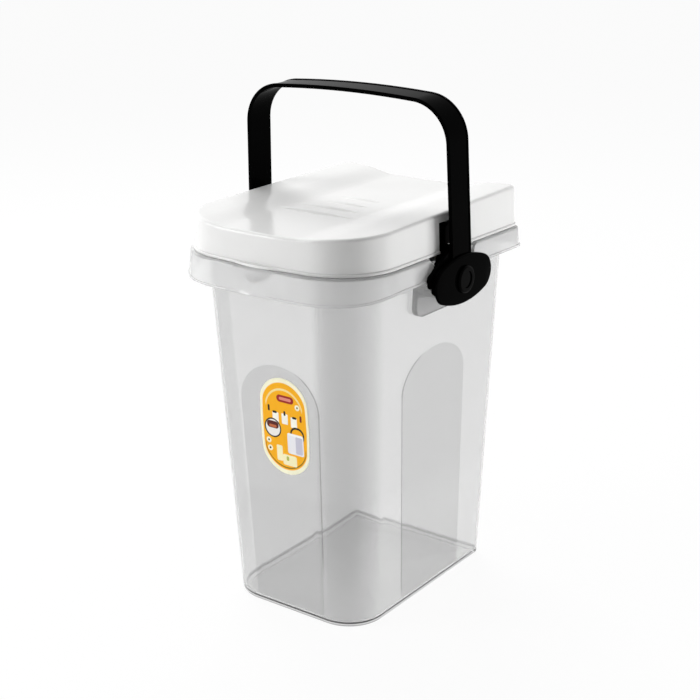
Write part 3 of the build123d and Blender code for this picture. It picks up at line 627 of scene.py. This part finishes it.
def printed_film(name):
    """Polyester label, printed and laminated: a cream border, a yellow field with two thin lines that follow its
    edge, and plain shapes with crisp edges. A shape is a rounded box: a point's distance outside the box less
    its corners, against the corner radius. The laminate's wear varies over about 8 mm."""
    made, tree, output = new_material(name)
    place = node(tree, "ShaderNodeTexCoord").outputs["Object"]
    flat = node(tree, "ShaderNodeMapping", {"Vector": place, "Location": (-LABEL_X, 0, -LABEL_Z),
                                            "Scale": (1 / MM, 0, 1 / MM)}).outputs[0]
    up = node(tree, "ShaderNodeSeparateXYZ", {"Vector": flat}).outputs["Z"]
    out = node(tree, "ShaderNodeAttribute", attribute_name="share_out").outputs["Fac"]
    inner = node(tree, "ShaderNodeMapRange", {"Value": out, "From Min": BORDER_START[0],
                                              "From Max": BORDER_START[1], "To Min": 1.0, "To Max": 0.0})
    colour = node(tree, "ShaderNodeMix", {"Factor": inner.outputs["Result"], 6: linear(LABEL_BORDER),
                                          7: linear(LABEL_FIELD)}, data_type="RGBA").outputs[2]
    for low, high, way, shade in LABEL_LINES:
        near = node(tree, "ShaderNodeMath", {0: out, 1: (low + high) / 2, 2: (high - low) / 2},
                    operation="COMPARE")
        end = node(tree, "ShaderNodeMapRange", {"Value": up, "From Min": way * LINE_FADE[0],
                                                "From Max": way * LINE_FADE[1]})
        line = node(tree, "ShaderNodeMath", {0: near.outputs[0], 1: end.outputs["Result"]},
                    operation="MULTIPLY")
        colour = node(tree, "ShaderNodeMix", {"Factor": line.outputs[0], 6: colour, 7: linear(shade)},
                      data_type="RGBA").outputs[2]
    for x, z, half_x, half_z, corner, shade in LABEL_SHAPES:
        away = node(tree, "ShaderNodeVectorMath", {0: flat, 1: (x, 0, z)}, operation="SUBTRACT")
        mirrored = node(tree, "ShaderNodeVectorMath", {0: away.outputs[0]}, operation="ABSOLUTE")
        box = (half_x - corner, 0, half_z - corner)
        beyond = node(tree, "ShaderNodeVectorMath", {0: mirrored.outputs[0], 1: box}, operation="SUBTRACT")
        outside = node(tree, "ShaderNodeVectorMath", {0: beyond.outputs[0], 1: (0, 0, 0)}, operation="MAXIMUM")
        reach = node(tree, "ShaderNodeVectorMath", {0: outside.outputs[0]}, operation="LENGTH")
        mask = node(tree, "ShaderNodeMapRange", {"Value": reach.outputs["Value"], "From Min": corner - PRINT_BLUR,
                                                 "From Max": corner + PRINT_BLUR, "To Min": 1.0, "To Max": 0.0})
        colour = node(tree, "ShaderNodeMix", {"Factor": mask.outputs["Result"], 6: colour, 7: linear(shade)},
                      data_type="RGBA").outputs[2]
    wear = node(tree, "ShaderNodeTexNoise", {"Vector": place, "Scale": 120.0, "Detail": 3.0})
    rough = node(tree, "ShaderNodeMapRange", {"Value": wear.outputs["Fac"], "To Min": 0.25, "To Max": 0.4})
    shader = node(tree, "ShaderNodeBsdfPrincipled",
                  {"Base Color": colour, "Roughness": rough.outputs["Result"], "IOR": 1.5,
                   "Specular IOR Level": 0.2})
    tree.links.new(shader.outputs["BSDF"], output.inputs["Surface"])
    return made


def moulded_plastic(name, colour, shifted, rough_low, rough_high, ior, grain_depth, grain_scale, gleam=0.5):
    """Opaque injection-moulded plastic: a faint drift of tone over about 110 mm, gloss that varies over about
    36 mm, as handling leaves it, and the grain of the mould. A noise's scale is its cells for each metre. The
    grain is 0.7 to 1.4 mm wide, coarser than a real mould's tenth of a millimetre, which wouldn't show."""
    made, tree, output = new_material(name)
    place = node(tree, "ShaderNodeTexCoord").outputs["Object"]
    drift = node(tree, "ShaderNodeTexNoise", {"Vector": place, "Scale": 9.0, "Detail": 2.0})
    tone = node(tree, "ShaderNodeMix", {"Factor": drift.outputs["Fac"], 6: linear(colour), 7: linear(shifted)},
                data_type="RGBA")
    handled = node(tree, "ShaderNodeTexNoise", {"Vector": place, "Scale": 28.0, "Detail": 5.0, "Roughness": 0.6})
    rough = node(tree, "ShaderNodeMapRange", {"Value": handled.outputs["Fac"], "From Min": 0.35, "From Max": 0.7,
                                              "To Min": rough_low, "To Max": rough_high})
    grain = node(tree, "ShaderNodeTexNoise", {"Vector": place, "Scale": grain_scale, "Detail": 2.0})
    bump = node(tree, "ShaderNodeBump",
                {"Height": grain.outputs["Fac"], "Strength": 0.25, "Distance": grain_depth})
    shader = node(tree, "ShaderNodeBsdfPrincipled",
                  {"Base Color": tone.outputs[2], "Roughness": rough.outputs["Result"], "IOR": ior,
                   "Specular IOR Level": gleam, "Normal": bump.outputs["Normal"]})
    tree.links.new(shader.outputs["BSDF"], output.inputs["Surface"])
    return made


def make_stage():
    """White paper floor: to the eye, and in gloss and through clear walls, mostly white with a soft shadow."""
    floor, tree, output = new_material("studio_paper")
    paper = node(tree, "ShaderNodeBsdfPrincipled", {"Base Color": linear("#F7F7F7"), "Roughness": 0.8})
    glow = node(tree, "ShaderNodeEmission", {"Color": linear("#FFFFFF"), "Strength": 1.0})
    share = node(tree, "ShaderNodeMath", {0: seen_rays(tree), 1: FLOOR_WHITE}, operation="MULTIPLY")
    both = node(tree, "ShaderNodeMixShader", {0: share.outputs[0], 1: paper.outputs[0], 2: glow.outputs[0]})
    tree.links.new(both.outputs[0], output.inputs["Surface"])
    reach = FLOOR_REACH
    corners = [(-reach, -reach, 0), (reach, -reach, 0), (reach, reach, 0), (-reach, reach, 0)]
    plane = new_object("floor", corners, [[0, 1, 2, 3]], floor)


def seen_rays(tree):
    """1 for a camera, glossy or transmission ray, and 0 for the rest."""
    rays = node(tree, "ShaderNodeLightPath")
    seen = node(tree, "ShaderNodeMath", {0: rays.outputs["Is Camera Ray"], 1: rays.outputs["Is Glossy Ray"]},
                operation="MAXIMUM")
    seen = node(tree, "ShaderNodeMath", {0: seen.outputs[0], 1: rays.outputs["Is Transmission Ray"]},
                operation="MAXIMUM")
    return seen.outputs[0]


def softbox(name, place, aim, width, height, power, in_gloss=True):
    """A rectangular area lamp that looks from its place to its aim. The camera doesn't see it, and gloss and
    clear walls show it only when in_gloss is true."""
    lamp = bpy.data.lights.new(name, "AREA")
    lamp.shape, lamp.size, lamp.size_y, lamp.energy = "RECTANGLE", width, height, power
    box = bpy.data.objects.new(name, lamp)
    box.location = place
    way = np.array(aim) - np.array(place)
    box.rotation_euler = (math.acos(-way[2] / np.linalg.norm(way)), 0, math.atan2(way[1], way[0]) - math.pi / 2)
    box.visible_camera = False
    box.visible_glossy = box.visible_transmission = in_gloss
    bpy.context.scene.collection.objects.link(box)


def make_light():
    """A dim white surround that shows as plain white, a softbox at each side of the camera's view, and one
    overhead. A softbox has its place, its aim, its width and height in metres, and its power in watts."""
    world = bpy.data.worlds.new("studio")
    bpy.context.scene.world = world
    world.use_nodes = True
    tree = world.node_tree
    tree.nodes.clear()
    lit = node(tree, "ShaderNodeBackground", {"Color": linear("#FFFFFF"), "Strength": 0.17})
    white = node(tree, "ShaderNodeBackground", {"Color": linear("#FFFFFF"), "Strength": 1.0})
    both = node(tree, "ShaderNodeMixShader", {0: seen_rays(tree), 1: lit.outputs[0], 2: white.outputs[0]})
    node(tree, "ShaderNodeOutputWorld", {"Surface": both.outputs[0]})
    softbox("left_box", (-1.3, -1.3, 0.9), (0, 0, 0.25), 1.0, 1.2, 25.0)
    softbox("right_box", (1.5, 1.2, 0.18), (0, 0, 0.2), 1.0, 0.34, 24.0, in_gloss=False)
    softbox("top_box", (-0.9, 0.7, 1.6), (0, 0, 0.3), 1.2, 1.2, 32.5, in_gloss=False)


def make_camera():
    """The photograph's camera: 36 degrees round to the right and 18.4 above the level, with a 72.4 mm lens."""
    lens = bpy.data.cameras.new("camera")
    lens.lens, lens.sensor_width = 72.4, 36.0
    lens.clip_start, lens.clip_end = 0.05, 50.0
    camera = bpy.data.objects.new("camera", lens)
    camera.location = (0.6185, -0.85235, 0.5465)
    camera.rotation_euler = (math.radians(90 - 18.42), 0, math.radians(35.98))
    bpy.context.scene.collection.objects.link(camera)
    bpy.context.scene.camera = camera


make_camera()
make_stage()
make_light()
bpy.context.scene.view_settings.view_transform = "Standard"

# Tub: clear styrene copolymer, moulded and polished; to the eye nearly colourless, with painted shade in its
# corners and a painted dark line along the panels' edges
clear = clear_plastic("styrene_copolymer_clear_moulded", 0.92, 0.95, "#F2F2F2", "#D2D2D2", "#909090",
                      "#9A9A9A")
# Rim and skirt: the same plastic with a bloom, milky and even, that hides most of what is behind it; the side
# pads under the skirt are darker with painted shadow
bloomed = clear_plastic("styrene_copolymer_bloomed_rim", 0.62, 0.62, "#F8F8F8", "#F8F8F8", "#A0A0A0",
                        "#F8F8F8")
# Lid: polypropylene from a polished mould; a clean white with a bright line of light along its edges
white = moulded_plastic("polypropylene_white_gloss", "#F1F1F0", "#ECECEB", 0.14, 0.22, 1.49, 0.00002, 900.0, 0.38)
# Handle, hubs and catches: ABS from a finely grained mould; a deep black that shows almost no light
black = moulded_plastic("abs_black_gloss", "#020202", "#040404", 0.08, 0.14, 1.54, 0.00001, 1400.0, 0.004)
# Pivot caps: the same ABS, polished, so that their round edges show a little against the handle's feet
capped = moulded_plastic("abs_black_polished_cap", "#020202", "#040404", 0.1, 0.16, 1.54, 0.00001, 1400.0, 0.012)
# Hinge pins: moulded acetal; off-white and satin
acetal = moulded_plastic("acetal_white_satin", "#E4E3DF", "#DCDBD7", 0.35, 0.45, 1.48, 0.00002, 900.0)
# Seal: moulded silicone; pale grey and matt
silicone = moulded_plastic("silicone_seal_matt", "#D9DAD8", "#CFD0CE", 0.5, 0.6, 1.41, 0.00003, 700.0)
# Label: polyester film, printed and laminated; flat warm colours with crisp edges
film = printed_film("polyester_label_printed")

# Each piece, the body it rides on, the CAD node it replaces and that node's slot
pieces = [(make_wall(clear), "container", "tub", "clear_plastic"),
          (make_rim(bloomed), "container", "tub", "clear_plastic"),
          (make_label(film), "container", "label", "label_film"),
          (make_bail(black), "handle", "handle", "black_plastic")]
for hub in ("pivot_hub_left", "pivot_hub_right"):
    pieces.append((make_hub(hub, black), "container", hub, "black_plastic"))
for make in (make_lid_cover, make_lid_shell, make_lid_bead):
    pieces.append((make(white), "lid", "lid", "white_plastic"))
for piece, body, of_node, slot in pieces:
    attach(piece, body)
    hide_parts(of_node)

# CAD nodes that show as they are
finishes = {"lid_seal": silicone, "lid_catch_left": black, "lid_catch_right": black,
            "pivot_cap_left": capped, "pivot_cap_right": capped,
            "hinge_pin_left": acetal, "hinge_pin_right": acetal}
for name, finish in finishes.items():
    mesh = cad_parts[name].data
    if mesh.materials:
        mesh.materials[0] = finish
    else:
        mesh.materials.append(finish)
